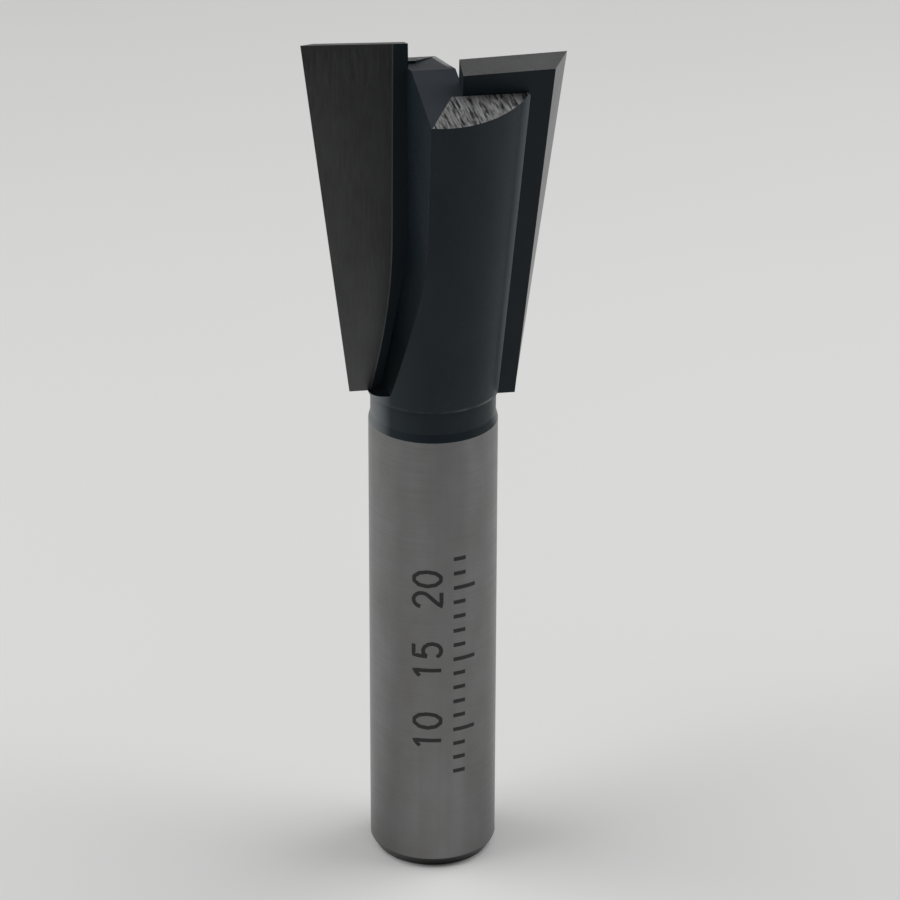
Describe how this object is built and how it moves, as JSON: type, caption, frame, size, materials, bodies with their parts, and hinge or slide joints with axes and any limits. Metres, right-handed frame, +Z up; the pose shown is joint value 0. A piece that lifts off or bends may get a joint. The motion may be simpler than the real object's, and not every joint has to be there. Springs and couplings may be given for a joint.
{
  "type": "dovetail cutter",
  "caption": "Dovetail cutter for a router: plain round shank, short neck and a fluted head with brazed carbide tips that widen towards the end.",
  "frame": {"origin": "centre of the shank's end face, on which the cutter stands", "axes": "+Z up along the tool axis, from the shank's end to the cutting end; +X along the first carbide tip"},
  "size_m": [0.0154, 0.0122, 0.054],
  "materials": {
    "tool_steel": "bright ground shank, satin blue-black coating on the neck and head, bare ground heels",
    "carbide": "fine ground, satin"
  },
  "bodies": {
    "root": {"tool_body": "tool_steel", "carbide_tip_1": "carbide", "carbide_tip_2": "carbide"}
  },
  "joints": []
}
